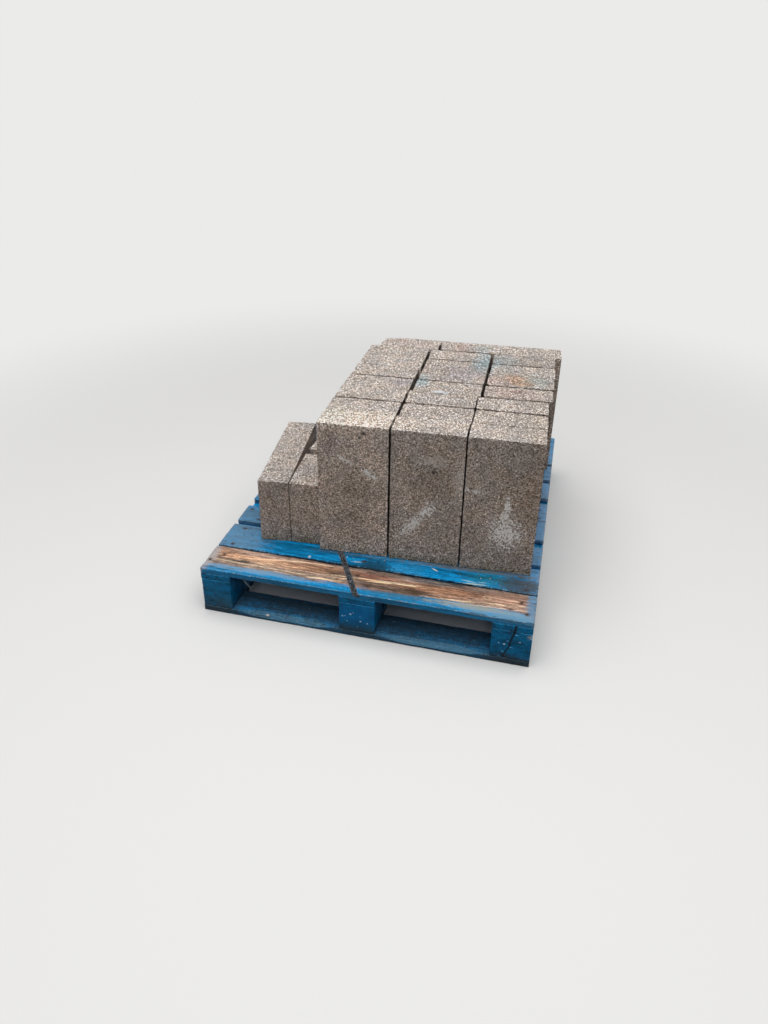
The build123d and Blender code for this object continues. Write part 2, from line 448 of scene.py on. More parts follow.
# painted shade in the gap behind the lead board
gapShade = (0, -473.5, 520, 6.5, 20, 0, (0.006, 0.014, 0.02), 0.9, 0.4)
paintSpecks = [(-27, 81, 3.2), (-51, 70, 2.8), (-43, 72, 1.7), (4, 60, 2.7), (25, 56, 2.2), (-37, 54, 1.6),
               (3, 77, 1.5), (-18, 87, 1.5), (-5, 38, 1.5), (424, 70, 3.4), (467, 85, 3.2), (409, 72, 1.6)]
deckMarks = [
    *faceMarks("z", 160, [
        # dull grey-blue on the left of the deck: dusty paint with a painted sheen
        (-470, -400, 110, 190, 14, 0, (0.16, 0.235, 0.30), 0.62, 0.5),
        # pale right ends of the deck boards: dust with a painted sheen
        (485, 60, 42, 520, 14, 0, (0.24, 0.33, 0.46), 0.6, 0.6),
        gapShade,
    ]),
    *faceMarks("y", -601, [
        (-8, 78, 64, 46, 14, 0, (0.003, 0.15, 0.42), 0.6, 0.6),
        (-8, 26, 66, 26, 14, 0, (0.010, 0.05, 0.075), 0.65, 0.6),
        (440, 11, 74, 15, 14, 0, (0.010, 0.018, 0.024), 0.75, 0.5),
        (-455, 10, 60, 13, 14, 0, (0.012, 0.020, 0.024), 0.6, 0.5),
        (-440, 40, 52, 26, 14, 0, (0.036, 0.075, 0.075), 0.5, 0.7),
        (-475, 88, 30, 34, 14, 0, (0.012, 0.17, 0.34), 0.5, 0.7),
    ]),
    ((493, -568, 108), (9, 34, 10), (0, 0, 0), (0.34, 0.26, 0.17), 0.7, 0.4),
    *faceMarks("z", 160, [
        (300, -397, 190, 9, 8, 2.6, (0.16, 0.14, 0.11), 0.75, 0.6),
        (-60, -413, 130, 6, 8, 2.6, (0.13, 0.12, 0.095), 0.4, 0.6),
    ]),
    *faceMarks("z", 20, [
        # painted shade on the front base board's top under the lead board
        (0, -535, 490, 46, 9, 0, (0.016, 0.026, 0.031), 0.62, 0.5),
    ]),
    *faceMarks("z", 16, [
        # painted highlight on the bevel of the front base board
        (240, -592, 170, 10, 8, 0, (0.09, 0.36, 0.62), 0.55, 0.5),
    ]),
    *faceMarks("y", -601, [
        (x, z, reach, reach * 0.8, 10, 0, (0.50, 0.74, 0.92), 0.9, 0.5) for x, z, reach in paintSpecks]),
    *faceMarks("z", 160, [
        (-440, 380, 60, 110, 10, 0, (0.02, 0.024, 0.026), 0.85, 0.4),
        (10, -455, 48, 32, 10, 0, (0.012, 0.04, 0.06), 0.8, 0.4),
        (446, -440, 66, 42, 10, 0, (0.07, 0.072, 0.07), 0.85, 0.4),
        (318, -465, 34, 2.2, 6, 4, (0.70, 0.84, 0.72), 0.95, 0.4),
        (300, -456, 22, 1.8, 6, -6, (0.62, 0.80, 0.70), 0.9, 0.4),
        (337, -452, 12, 1.8, 6, 8, (0.62, 0.80, 0.70), 0.85, 0.4),
        (-50, -448, 15, 2.6, 6, 8, (0.55, 0.62, 0.62), 0.8, 0.5),
        (-198, -459, 4, 6, 6, 0, (0.62, 0.68, 0.70), 0.9, 0.4),
        (345, -430, 60, 30, 10, 0, (0.03, 0.17, 0.16), 0.4, 0.7),
    ]),
]


crackLine = [(451, 158), (451, 140), (449, 112), (440, 79), (438, 63), (428, 39), (420, 22)]


def crackShade():
    # painted shade along the drying crack, from the stringer's end down the right front spacer
    rows = []
    for (x, z), (nextX, nextZ) in zip(crackLine, crackLine[1:]):
        middle = ((x + nextX) / 2, (z + nextZ) / 2)
        reach = (3.6, math.hypot(nextX - x, nextZ - z) / 2 + 3, 14)
        angle = math.degrees(math.atan2(nextX - x, nextZ - z))
        rows.append((*middle, *reach, angle, (0.003, 0.010, 0.02), 0.9, 0.3))
    return faceMarks("y", -600, rows)


def bluePaint(place, along, grain, edge, uprightShade):
    # brushed on thinly: streaked on top and rubbed pale on arrises, with a painted highlight on faces that
    # slope up and painted shade on upright faces
    look = timberLook
    upward = parts(surfaceNormal())[2]
    onTop = ramp(upward, 0.2, 0.6)
    paint = mixed(ramp(grain["Bands"], 0.32, 0.6), look["deepPaint"], look["paint"])
    faded = ramp(noise(place, 6, 4, 0.6), 0.5, 0.72, 0, 0.4)
    paint = mixed(times(faded, onTop), paint, look["fadedPaint"])
    # painted highlight on faces that slope up, such as bevels and rounded arrises
    slopeHighlight = times(ramp(upward, 0.3, 0.5), ramp(upward, 0.86, 0.97, 1, 0))
    slopeHighlight = times(slopeHighlight, ramp(edge, 0, 0.4, 1, 0))
    worn = times(ramp(edge, 0.35, 1), ramp(noise(along, 60, 4, 0.7), 0.35, 0.6))
    worn = times(larger(worn, slopeHighlight), 0.75)
    paint = mixed(worn, paint, look["rubbedAndLitPaint"])
    paint = mixed(ramp(grain["Lines"], 0.5, 0.7, 0, 0.5), paint, look["deepPaint"])
    streak = ramp(noise(along, 420, 3, 0.75), 0.32, 0.68, -0.5, 0.5)
    streak = timesPlus(streak, timesPlus(onTop, 0.7, 0.3), 1)
    # painted shade: upright faces darker than the tops
    streak = times(streak, timesPlus(onTop, 1 - uprightShade, uprightShade))
    paint = shaded(paint, streak)
    paint = shaded(paint, ramp(noise(place, 430, 2, 0.7), 0.32, 0.68, 0.66, 1.34))
    chalky = ramp(noise(place, 150, 3, 0.75), 0.54, 0.62, 0, 0.8)
    return mixed(times(ramp(edge, 0.3, 0.8), chalky), paint, look["chalk"])


def makePaintedTimber():
    look = timberLook
    material, surface = newMaterial("Painted timber", Specular_IOR_Level=0.09)
    place = objectPlace()
    along = attribute("grain", "Vector")
    grain = useGroup(grainGroup, Vector=along)
    edge = attribute("edge")
    dirt = useGroup(dirtGroup, Vector=place)
    plug(dirt["Splash"].node.inputs["Splash Height"], look["splash"] * mm)
    paint = bluePaint(place, along, grain, edge, look["sideShade"])
    wood = mixed(ramp(grain["Lines"], 0.35, 0.7), look["bareDark"], look["bare"])
    # paint is gone where worn: on arrises and along streaks of the grain
    worn = timesPlus(grain["Bands"], 0.55, times(noise(place, 26, 5, 0.7), 0.45))
    worn = timesPlus(edge, 0.12, worn)
    limit = attribute("paint")
    bare = ramp(worn, limit, plus(limit, 0.05))
    colour = mixed(bare, paint, wood)
    ragged = ramp(noise(place, 75, 4, 0.75), 0.25, 0.75, -0.4, 0.4)
    # stains and marks, with painted shade and highlights among them
    colour = paintSpots(colour, place, ragged, deckMarks + crackShade())
    colour = mixed(times(attribute("check"), 0.85), colour, look["grime"])
    colour = mixed(times(attribute("rust"), 0.75), colour, look["rust"])
    colour = mixed(times(dirt["Grime"], 0.7), colour, look["grime"])
    mud = mixed(ramp(noise(place, 330, 3, 0.7), 0.4, 0.6), look["grime"], look["mud"])
    colour = mixed(dirt["Splash"], colour, mud)
    # dust specks, thick in patches
    motes = cells(place, 150)
    few = ramp(noise(place, 14, 3, 0.6), 0.45, 0.7, 0.99, 0.9)
    upward = parts(surfaceNormal())[2]
    few = plus(few, ramp(upward, 0.2, 0.7, 0.1, 0))
    specks = above(parts(motes.outputs["Color"])[1], few)
    specks = times(specks, ramp(motes.outputs["Distance"], 0.12, 0.3, 0.75, 0))
    colour = mixed(specks, colour, look["dust"])
    plug(surface["Base Color"], colour)
    dull = larger(bare, times(dirt["Splash"], 1.6))
    plug(surface["Roughness"], ramp(dull, 0, 1, 0.34, 0.82))
    height = timesPlus(grain["Fibres"], 0.35, grain["Lines"])
    height = timesPlus(bare, -0.3, height)
    bumped(surface, height, 0.5, 0.9 * mm)
    return material


leadLook = {
    "tan": (0.385, 0.262, 0.205),
    "orange": (0.44, 0.225, 0.125),
    "brown": (0.13, 0.085, 0.065),
    "cream": (0.82, 0.62, 0.42),
    "knot": (0.045, 0.026, 0.014),
    # painted shade: the colour of the lead board's upright faces is multiplied by this
    "frontShade": 0.73,
    "bareLeft": -493,
    "bareRight": 478,
    "bareFront": -568,
    "paintEdge": 6,
    "topEdge": 22,
    "endEdge": 9,
}
cream, knot, orange = leadLook["cream"], leadLook["knot"], leadLook["orange"]
leadStreaks = faceMarks("z", 160, [
    (-390, -545, 120, 4, 8, -1, cream, 0.7, 0.6),
    (-300, -528, 90, 3, 8, 1, cream, 0.5, 0.6),
    (-180, -552, 90, 2.4, 8, -2, cream, 0.6, 0.6),
    (-75, -530, 80, 3, 8, 4, cream, 0.7, 0.6),
    (60, -522, 110, 3.4, 8, 3, cream, 0.85, 0.6),
    (330, -548, 150, 3.2, 8, 6, cream, 0.75, 0.6),
    (-83, -548, 17, 8.5, 8, 0, cream, 0.75, 0.5),
    (-83, -548, 9, 4.6, 8, 0, (0.20, 0.09, 0.04), 0.9, 0.4),
    (182, -563, 13, 6, 8, 0, cream, 0.6, 0.5),
    (182, -563, 7, 3.4, 8, 0, knot, 0.9, 0.4),
    (360, -521, 12, 5.5, 8, 0, cream, 0.6, 0.5),
    (360, -521, 6, 3, 8, 0, (0.20, 0.09, 0.04), 0.9, 0.4),
    (146, -546, 46, 13, 8, 2, knot, 0.8, 0.6),
    (230, -520, 70, 16, 8, 0, orange, 0.6, 0.7),
    (20, -505, 70, 9, 8, 0, (0.30, 0.06, 0.035), 0.45, 0.7),
])
leadTints = faceMarks("z", 160, [
    (-345, -518, 130, 17, 8, -2, (0.80, 0.46, 0.285), 0.85, 0.5),
    (-330, -490, 120, 11, 8, 0, (0.54, 0.375, 0.30), 0.7, 0.6),
    (-290, -552, 180, 13, 8, 1, (0.50, 0.38, 0.30), 0.65, 0.6),
    (24, -548, 66, 15, 8, 0, (0.12, 0.085, 0.07), 0.75, 0.6),
    (270, -547, 90, 13, 8, 2, (0.52, 0.29, 0.19), 0.6, 0.6),
    (130, -552, 60, 14, 8, 0, (0.07, 0.06, 0.045), 0.65, 0.6),
    (250, -520, 250, 16, 8, 0, (0.42, 0.20, 0.115), 0.6, 0.6),
    (-60, -515, 50, 20, 8, 0, (0.10, 0.07, 0.055), 0.5, 0.6),
    (140, -484, 380, 10, 8, 0, (0.24, 0.20, 0.18), 0.6, 0.6),
    (180, -487, 70, 12, 8, 0, (0.11, 0.125, 0.14), 0.6, 0.7),
    (420, -525, 60, 40, 8, 0, (0.56, 0.33, 0.24), 0.45, 0.6),
])
leadHighlights = faceMarks("z", 160, [
    (-318, -508, 62, 3.2, 8, 10, (1, 0.68, 0.44), 0.9, 0.4),
    (-226, -494, 44, 3, 8, 7, (1, 0.70, 0.46), 0.9, 0.4),
    (-156, -490, 42, 2.6, 8, 0, (1, 0.68, 0.44), 0.8, 0.4),
    (-134, -558, 38, 2.6, 8, 2, (1, 0.76, 0.50), 0.9, 0.4),
    (-56, -538, 20, 2.2, 8, 12, (1, 0.72, 0.46), 0.85, 0.4),
    (8, -525, 40, 2.6, 8, 0, (1, 0.60, 0.34), 0.95, 0.4),
    (52, -529, 40, 2.4, 8, 6, (1, 0.76, 0.48), 1, 0.4),
    (118, -523, 38, 2.4, 8, 3, (1, 0.78, 0.50), 1, 0.4),
    (340, -562, 120, 2.4, 8, 4, (1, 0.74, 0.56), 0.8, 0.5),
    (424, -516, 60, 2.4, 8, -1, (0.95, 0.62, 0.46), 0.6, 0.5),
])
leadVeils = faceMarks("z", 160, [
    (-110, -595, 400, 6, 8, 0, (0.008, 0.14, 0.29), 0.5, 0.6),
    (-330, -575, 210, 10, 8, 0, (0.20, 0.33, 0.46), 0.85, 0.5),
    (90, -576, 110, 9, 8, 0, (0.06, 0.15, 0.22), 0.6, 0.6),
    (340, -574, 130, 13, 8, 0, (0.32, 0.37, 0.355), 0.85, 0.5),
    (440, -578, 60, 14, 8, 0, (0.20, 0.35, 0.48), 0.7, 0.5),
    (-496, -535, 19, 80, 8, 0, (0.44, 0.39, 0.375), 0.9, 0.5),
    (490, -540, 18, 90, 8, 0, (0.21, 0.26, 0.32), 0.7, 0.5),
    (430, -592, 120, 10, 10, 0, (0.15, 0.30, 0.42), 0.7, 0.6),
    gapShade,
])


def makeLeadTimber():
    look = leadLook
    paintLook = timberLook
    material, surface = newMaterial("Worn lead timber", Specular_IOR_Level=0.18)
    place = objectPlace()
    along = attribute("grain", "Vector")
    grain = useGroup(grainGroup, Vector=along)
    edge = attribute("edge")
    x, y, z = parts(place)
    wood = mixed(ramp(grain["Bands"], 0.38, 0.62), look["brown"], look["tan"])
    wood = mixed(ramp(noise(along, 22, 3), 0.45, 0.6, 0, 0.7), wood, look["orange"])
    ragged = ramp(noise(along, 210, 4, 0.7), 0.25, 0.75, -0.35, 0.35)
    wood = paintSpots(wood, place, ragged, leadTints + leadStreaks)
    wood = mixed(ramp(grain["Lines"], 0.3, 0.55, 0.7, 0), wood, look["brown"])
    streak = times(ramp(noise(along, 330, 3, 0.75), 0.34, 0.66, 0.62, 1.42),
                   ramp(noise(along, 150, 2, 0.6), 0.36, 0.64, 0.7, 1.3))
    wood = shaded(wood, streak)
    scratches = noise(vectorCalc("MULTIPLY", place, (0.3, 1, 1)), 190, 4, 0.8)
    wood = mixed(ramp(scratches, 0.58, 0.64, 0, 0.75), wood, look["knot"])
    wood = mixed(ramp(scratches, 0.33, 0.40, 0.45, 0), wood, look["cream"])
    wood = shaded(wood, ramp(noise(place, 430, 2, 0.7), 0.32, 0.68, 0.7, 1.3))
    wood = paintSpots(wood, place, ragged, leadHighlights)
    paint = bluePaint(place, along, grain, edge, look["frontShade"])

    def beyond(value, title, *ends):
        limit = look[title]
        return ramp(value, (limit - look["paintEdge"]) * mm, (limit + look["paintEdge"]) * mm, *ends)

    # the paint is left only on the ends, the front strip and the faces below the top
    nearEnds = timesPlus(ramp(noise(place, 70, 4, 0.7), 0.2, 0.8, -1, 1), look["endEdge"] * mm, x)
    fromLeft = beyond(nearEnds, "bareLeft")
    fromRight = beyond(nearEnds, "bareRight", 1, 0)
    wander = times(ramp(noise(along, 95, 5, 0.75), 0.2, 0.8, -1, 1), look["topEdge"] * mm)
    fromFront = beyond(timesPlus(wander, 0.7, y), "bareFront")
    onTop = ramp(z, deckTop - 8 * mm, deckTop - 5 * mm)
    bare = times(times(fromLeft, fromRight), times(fromFront, onTop))
    flecks = ramp(timesPlus(edge, 0.14, noise(along, 120, 4, 0.7)), 0.66, 0.72)
    bare = larger(bare, times(flecks, 0.8))
    colour = mixed(bare, paint, wood)
    patchy = timesPlus(minus(scratches, 0.5), 3, ragged)
    colour = paintSpots(colour, place, patchy, leadVeils)
    colour = mixed(times(attribute("check"), 0.85), colour, paintLook["grime"])
    colour = mixed(times(attribute("rust"), 0.8), colour, paintLook["rust"])
    plug(surface["Base Color"], colour)
    plug(surface["Roughness"], ramp(bare, 0, 1, 0.36, 0.62))
    height = timesPlus(grain["Fibres"], 0.4, grain["Lines"])
    bumped(surface, height, 0.6, 1 * mm)
    return material


strapLook = {
    "width": 18,
    "frayedFrom": 6.6,
    "frayedTo": 8.4,
    "plastic": (0.010, 0.012, 0.016),
    "dust": (0.07, 0.07, 0.072),
    "specks": (0.30, 0.32, 0.35),
    "frayed": (0.30, 0.32, 0.34),
}


def makeStrapPlastic():
    look = strapLook
    material, surface = newMaterial("Strap plastic", Specular_IOR_Level=0.2)
    place = objectPlace()
    dust = ramp(noise(place, 90, 5, 0.7), 0.45, 0.75)
    colour = mixed(dust, look["plastic"], look["dust"])
    specks = ramp(noise(place, 300, 2, 0.6), 0.54, 0.62, 0, 0.75)
    colour = mixed(specks, colour, look["specks"])
    along = attribute("grain", "Vector")
    fromMiddle = absolute(minus(parts(along)[1], look["width"] / 2 * mm))
    frayed = times(ramp(fromMiddle, look["frayedFrom"] * mm, look["frayedTo"] * mm),
                   ramp(noise(place, 160, 2, 0.6), 0.4, 0.55, 0, 0.7))
    colour = mixed(frayed, colour, look["frayed"])
    plug(surface["Base Color"], colour)
    plug(surface["Roughness"], ramp(dust, 0, 1, 0.28, 0.6))
    weave = addNode("ShaderNodeTexWave", {"Vector": along, "Scale": 220.0},
                    bands_direction="X", wave_profile="SIN").outputs["Fac"]
    bumped(surface, weave, 0.35, 0.5 * mm)
    return material


def makeNailSteel():
    material, surface = newMaterial("Nail steel", Metallic=0.35)
    patches = noise(objectPlace(), 500, 3, 0.6)
    colour = mixed(ramp(patches, 0.35, 0.65), (0.03, 0.026, 0.024), (0.11, 0.055, 0.03))
    plug(surface["Base Color"], colour)
    plug(surface["Roughness"], ramp(patches, 0.3, 0.7, 0.5, 0.85))
    return material


def makeScrap(name, dark, pale):
    material, surface = newMaterial(name, Roughness=0.8)
    speckle = noise(objectPlace(), 260, 3, 0.6)
    colour = mixed(ramp(speckle, 0.35, 0.65), dark, pale)
    plug(surface["Base Color"], colour)
    bumped(surface, speckle, 0.5, 1 * mm)
    return material


concrete = makeConcrete()
paintedTimber = makePaintedTimber()
leadTimber = makeLeadTimber()
strapPlastic = makeStrapPlastic()
nailSteel = makeNailSteel()
whiteLump = makeScrap("Lime lump", (0.50, 0.49, 0.47), (0.82, 0.81, 0.79))
greySplinter = makeScrap("Grey splinter", (0.16, 0.18, 0.19), (0.34, 0.37, 0.39))
print("materials ready")


# Geometry trees

def makeArrisGroup():
    # wears the arrises of a box round, and says which way is out and how near the next arris is
    tree, given, result = newTree("WornArris", "GeometryNodeTree", [
        ("Low", "Vector"), ("High", "Vector"), ("Radius", "Float", 0.002)],
        [("Position", "Vector"), ("Outward", "Vector"), ("Edge Distance", "Float")])
    position = addNode("GeometryNodeInputPosition").outputs[0]
    radius = joined(given["Radius"], given["Radius"], given["Radius"])
    inner = vectorCalc("MAXIMUM", position, vectorCalc("ADD", given["Low"], radius))
    inner = vectorCalc("MINIMUM", inner, vectorCalc("SUBTRACT", given["High"], radius))
    away = vectorCalc("SUBTRACT", position, inner)
    outward = vectorCalc("NORMALIZE", away)
    reach = smaller(vectorCalc("LENGTH", away), given["Radius"])
    plug(result["Position"], vectorCalc("ADD", inner, stretch(outward, reach)))
    plug(result["Outward"], outward)
    depth = vectorCalc("MINIMUM", vectorCalc("SUBTRACT", position, given["Low"]),
                       vectorCalc("SUBTRACT", given["High"], position))
    x, y, z = parts(depth)
    second = smaller(larger(x, y), z)
    plug(result["Edge Distance"], larger(smaller(x, y), second))
    return tree


arrisGroup = makeArrisGroup()
boxInputs = [("Geometry", "Geometry"), ("Low", "Vector"), ("High", "Vector"), ("Seed", "Float")]


def seedShift(position, seed):
    return vectorCalc("ADD", position, stretch(joined(3.1, 1.7, 2.3), seed))


def store(geometry, name, value, kind="FLOAT"):
    node = addNode("GeometryNodeStoreNamedAttribute", {"Geometry": geometry, "Name": name},
                   data_type=kind, domain="POINT")
    plug(node.inputs["Value"], value)
    return node.outputs[0]


def finishTree(given, result, geometry):
    geometry = addNode("GeometryNodeRealizeInstances", {0: geometry}).outputs[0]
    geometry = addNode("GeometryNodeSetMaterial", {
        "Geometry": geometry, "Material": given["Material"]}).outputs[0]
    plug(result["Geometry"], geometry)


def makeConcreteTree():
    tree, given, result = newTree("RoughConcrete", "GeometryNodeTree", [
        *boxInputs, ("Arris", "Float", 0.002), ("Chipping", "Float", 0.004), ("Pit Depth", "Float", 0.002),
        ("Pit Spacing", "Float", 0.011), ("Grain", "Float", 0.0008), ("Fracture", "Float"),
        ("Slant", "Float"), ("Chip", "Vector"), ("Chip Size", "Float", 0.001), ("Second Chip", "Vector"),
        ("Second Chip Size", "Float", 0.001), ("Wear Low", "Vector"), ("Wear High", "Vector"),
        ("Wear Reach", "Float", 0.012), ("Tone", "Float"), ("Turn", "Float"), ("Place", "Vector"),
        ("Material", "Material")], [("Geometry", "Geometry")])
    position = addNode("GeometryNodeInputPosition").outputs[0]
    seeded = seedShift(position, given["Seed"])
    crumbled = ramp(noise(seeded, 105, 4, 0.75), 0.46, 0.76)
    radius = timesPlus(crumbled, given["Chipping"], given["Arris"])
    # the joints to the neighbours are worn wider, each side by its own amount
    opened = 0.0
    for wear, depth in ((given["Wear Low"], vectorCalc("SUBTRACT", position, given["Low"])),
                        (given["Wear High"], vectorCalc("SUBTRACT", given["High"], position))):
        share = stretch(depth, over(1, given["Wear Reach"]))
        share = vectorCalc("MAXIMUM", vectorCalc("SUBTRACT", (1, 1, 1), share), (0, 0, 0))
        opened = plus(opened, vectorCalc("DOT_PRODUCT", share, wear))
    opened = times(opened, ramp(noise(seeded, 55, 4, 0.75), 0.36, 0.66, 0, 1.5))
    radius = larger(plus(radius, opened), 0.3 * mm)
    for title in ("Chip", "Second Chip"):
        toChip = vectorCalc("LENGTH", vectorCalc("SUBTRACT", position, given[title]))
        chip = ramp(over(toChip, given[title + " Size"]), 0.4, 1.6, 0.35, 0)
        radius = timesPlus(chip, given[title + " Size"], radius)
    worn = useGroup(arrisGroup, Low=given["Low"], High=given["High"], Radius=radius)
    # pores: one in some of the cells of a loose lattice, cut inwards
    wander = addNode("ShaderNodeTexNoise", {"Vector": seeded, "Scale": 180.0}).outputs[1]
    lattice = cells(vectorCalc("ADD", seeded, stretch(wander, 0.006)), over(1, given["Pit Spacing"]))
    chosen = ramp(parts(lattice.outputs["Color"])[0], 0.3, 0.7)
    pit = times(ramp(lattice.outputs["Distance"], 0.12, 0.4, 1, 0), chosen)
    depth = timesPlus(noise(seeded, 330, 3, 0.7), given["Grain"], times(pit, given["Pit Depth"]))
    moved = vectorCalc("SUBTRACT", worn["Position"], stretch(worn["Outward"], depth))
    # a broken back face: rough, and slanting towards the right
    fromBack = parts(vectorCalc("SUBTRACT", given["High"], position))[1]
    onBreak = ramp(fromBack, 0, 4 * mm, 1, 0)
    rough = times(noise(seeded, 38, 4, 0.6), given["Fracture"])
    across = over(parts(position)[0], parts(given["High"])[0])
    back = over(parts(position)[1], parts(given["High"])[1])
    lean = times(times(across, back), given["Slant"])
    inward = timesPlus(onBreak, rough, lean)
    moved = vectorCalc("SUBTRACT", moved, joined(0, inward, 0))
    geometry = addNode("GeometryNodeSetPosition", {0: given["Geometry"], "Position": moved}).outputs[0]
    geometry = store(geometry, "pit", pit)
    nearJoint = ramp(worn["Edge Distance"], 1 * mm, 4.5 * mm, 1, 0)
    geometry = store(geometry, "joint", times(nearJoint, ramp(opened, 0.4 * mm, 2.2 * mm)))
    geometry = store(geometry, "arris", ramp(worn["Edge Distance"], 2 * mm, 6 * mm, 1, 0))
    geometry = store(geometry, "tone", given["Tone"])
    placed = addNode("GeometryNodeTransform", {
        "Geometry": geometry, "Translation": given["Place"],
        "Rotation": joined(0, 0, given["Turn"])}).outputs[0]
    finishTree(given, result, placed)
    return tree


def makeTimberTree():
    tree, given, result = newTree("SawnTimber", "GeometryNodeTree", [
        *boxInputs, ("Stretch", "Vector", (0.05, 1, 1)), ("Arris", "Float", 0.0015),
        ("Wear", "Float", 0.003), ("Relief", "Float", 0.0008), ("Check Depth", "Float", 0.003),
        ("Paint", "Float", 0.7), ("Rubbing", "Float", 1.0), ("Nails", "Object"),
        ("Material", "Material")], [("Geometry", "Geometry")])
    position = addNode("GeometryNodeInputPosition").outputs[0]
    along = seedShift(vectorCalc("MULTIPLY", position, given["Stretch"]), given["Seed"])
    seeded = seedShift(position, given["Seed"])
    rubbed = ramp(noise(seeded, 16, 4, 0.6), 0.4, 0.75)
    radius = timesPlus(rubbed, given["Wear"], given["Arris"])
    worn = useGroup(arrisGroup, Low=given["Low"], High=given["High"], Radius=radius)
    ridges = noise(along, 130, 3, 0.6)
    split = absolute(minus(noise(along, 34, 2, 0.4), 0.5))
    some = ramp(noise(seeded, 5, 2), 0.5, 0.62)
    check = times(ramp(split, 0.004, 0.02, 1, 0), some)
    nailPoints = addNode("GeometryNodeObjectInfo", {"Object": given["Nails"]}).outputs["Geometry"]
    near = addNode("GeometryNodeProximity", {0: nailPoints}, target_element="POINTS").outputs["Distance"]
    rust = ramp(near, 4 * mm, 11 * mm, 1, 0)
    depth = timesPlus(ridges, given["Relief"], times(check, given["Check Depth"]))
    depth = timesPlus(rust, 0.7 * mm, depth)
    moved = vectorCalc("SUBTRACT", worn["Position"], stretch(worn["Outward"], depth))
    geometry = addNode("GeometryNodeSetPosition", {0: given["Geometry"], "Position": moved}).outputs[0]
    geometry = store(geometry, "grain", along, "FLOAT_VECTOR")
    geometry = store(geometry, "edge", ramp(worn["Edge Distance"], 0, 6 * mm, given["Rubbing"], 0))
    geometry = store(geometry, "check", check)
    geometry = store(geometry, "rust", rust)
    geometry = store(geometry, "paint", given["Paint"])
    finishTree(given, result, geometry)
    return tree


def makeNailTree():
    tree, given, result = newTree("NailHeads", "GeometryNodeTree", [
        ("Geometry", "Geometry"), ("Radius", "Float", 0.004), ("Height", "Float", 0.0015),
        ("Sides", "Int", 14), ("Tilt", "Float", 0.08), ("Seed", "Int", 4),
        ("Material", "Material")], [("Geometry", "Geometry")])
    rim = addNode("GeometryNodeMeshCone", {
        "Vertices": given["Sides"], "Radius Top": times(given["Radius"], 0.8),
        "Radius Bottom": given["Radius"], "Depth": given["Height"]}).outputs["Mesh"]
    tilt = given["Tilt"]
    otherWay = times(tilt, -1)
    lean = randomVector(joined(otherWay, otherWay, 0), joined(tilt, tilt, 6.28), given["Seed"])
    size = randomNumber(0.85, 1.15, given["Seed"])
    heads = addNode("GeometryNodeInstanceOnPoints", {
        "Points": given["Geometry"], "Instance": rim, "Rotation": lean, "Scale": size}).outputs[0]
    finishTree(given, result, heads)
    return tree


def makeGritTree():
    tree, given, result = newTree("Grit", "GeometryNodeTree", [
        ("Geometry", "Geometry"), ("Density", "Float", 3000.0), ("Smallest", "Float", 0.0006),
        ("Largest", "Float", 0.003), ("Seed", "Int", 2), ("Tone", "Float", 0.3),
        ("Material", "Material")], [("Geometry", "Geometry")])
    points = addNode("GeometryNodeDistributePointsOnFaces", {
        "Mesh": given["Geometry"], "Density": given["Density"], "Seed": given["Seed"]}).outputs["Points"]
    crumb = addNode("GeometryNodeMeshIcoSphere", {"Radius": 1, "Subdivisions": 1}).outputs["Mesh"]
    size = randomNumber(0, 1, given["Seed"])
    size = ramp(power(size, 3), 0, 1, given["Smallest"], given["Largest"])
    shape = randomVector((0.6, 0.5, 0.35), (1, 0.9, 0.6), given["Seed"])
    turn = randomVector((-0.3, -0.3, 0), (0.3, 0.3, 6.28), given["Seed"])
    crumbs = addNode("GeometryNodeInstanceOnPoints", {
        "Points": points, "Instance": crumb, "Rotation": turn,
        "Scale": vectorCalc("MULTIPLY", shape, joined(size, size, size))}).outputs[0]
    geometry = addNode("GeometryNodeRealizeInstances", {0: crumbs}).outputs[0]
    geometry = store(geometry, "tone", given["Tone"])
    finishTree(given, result, geometry)
    return tree


concreteTree = makeConcreteTree()
timberTree = makeTimberTree()
nailTree = makeNailTree()
gritTree = makeGritTree()
print("geometry trees ready")


def newObject(name, mesh):
    piece = bpy.data.objects.new(name, mesh)
    bpy.context.scene.collection.objects.link(piece)
    return piece


def growFrom(piece, tree, values):
    # runs the tree on the piece and keeps the result as its plain mesh
    modifier = piece.modifiers.new("grow", "NODES")
    modifier.node_group = tree
    for item in tree.interface.items_tree:
        if item.in_out == "INPUT" and item.name in values:
            modifier[item.identifier] = values[item.name]
    graph = bpy.context.evaluated_depsgraph_get()
    mesh = bpy.data.meshes.new_from_object(piece.evaluated_get(graph), preserve_all_data_layers=True,
                                           depsgraph=graph)
    piece.modifiers.clear()
    piece.data = mesh
    mesh.shade_smooth()
    return piece


def closedMesh(name, points, faces, material):
    # a smooth mesh with its normals turned outwards
    mesh = bpy.data.meshes.new(name)
    mesh.from_pydata(points, [], faces)
    bm = bmesh.new()
    bm.from_mesh(mesh)
    bmesh.ops.recalc_face_normals(bm, faces=bm.faces)
    bm.to_mesh(mesh)
    bm.free()
    mesh.materials.append(material)
    mesh.shade_smooth()
    return mesh


def dress(piece, slot, *nodes):
    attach(piece, "root")
    if nodes:
        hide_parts(*nodes)


# Blocks

